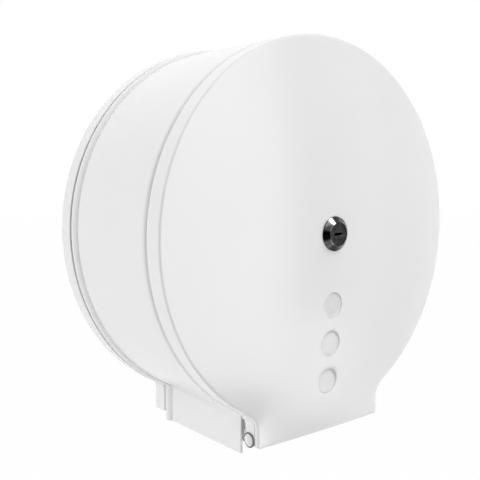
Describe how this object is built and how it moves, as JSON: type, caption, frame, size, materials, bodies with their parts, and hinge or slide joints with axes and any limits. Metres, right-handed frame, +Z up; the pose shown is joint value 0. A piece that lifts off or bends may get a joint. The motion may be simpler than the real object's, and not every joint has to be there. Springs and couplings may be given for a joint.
{
  "type": "jumbo toilet roll dispenser",
  "caption": "Wall-mounted jumbo toilet roll dispenser: round white steel drum, domed cover hinged at the bottom with a cam lock and viewing holes, fixed spindle with a turning hub.",
  "frame": {"origin": "on the wall, at the centre of the wall screw pattern, which is the drum's axis", "axes": "+X to the right as seen from the front, +Y into the wall, +Z up; the cover faces -Y"},
  "size_m": [0.2548, 0.1288, 0.2664],
  "materials": {
    "white_steel": "white powder coat, satin gloss",
    "hinge_steel": "dark grey paint, satin",
    "rivet_white": "white powder coat, satin gloss",
    "nylon_dark": "dark nylon, matt",
    "zinc_steel": "zinc-plated, satin",
    "hub_plastic": "light grey plastic, matt",
    "strip_plastic": "opal white plastic, satin",
    "dark_chrome": "dark chrome, polished",
    "wafer_brass": "plain brass, satin"
  },
  "bodies": {
    "housing": {"back_plate": "white_steel", "drum_casing": "white_steel", "tear_strip_left": "zinc_steel", "tear_strip_right": "zinc_steel", "hinge_bracket_left": "hinge_steel", "hinge_bracket_right": "hinge_steel", "hinge_rivet_left": "rivet_white", "hinge_rivet_right": "rivet_white", "hinge_washers": "nylon_dark", "hinge_spacers": "nylon_dark", "spindle_base": "zinc_steel", "spindle_rivets": "zinc_steel", "spindle_post": "zinc_steel", "catch_plate": "zinc_steel", "hub_ring": "zinc_steel"},
    "hub": {"roll_hub": "hub_plastic"},
    "cover": {"front_cover": "white_steel", "level_strip": "strip_plastic", "strip_nuts": "zinc_steel", "lock_housing": "dark_chrome", "lock_washer": "zinc_steel", "lock_nut": "zinc_steel"},
    "lock_core": {"lock_plug": "dark_chrome", "lock_wafers": "wafer_brass", "lock_cam": "zinc_steel", "cam_washer": "zinc_steel", "cam_screw": "zinc_steel"}
  },
  "joints": [
    {"name": "cover_hinge", "type": "hinge", "parent": "housing", "child": "cover", "pos_m": [0, -0.1068, -0.1273], "axis": [1, 0, 0], "range_deg": [0, 110]},
    {"name": "lock_turn", "type": "hinge", "parent": "cover", "child": "lock_core", "pos_m": [0, -0.12, 0], "axis": [0, 1, 0], "range_deg": [0, 90]},
    {"name": "hub_spin", "type": "hinge", "parent": "housing", "child": "hub", "pos_m": [0, -0.05, 0], "axis": [0, 1, 0], "continuous": true}
  ]
}
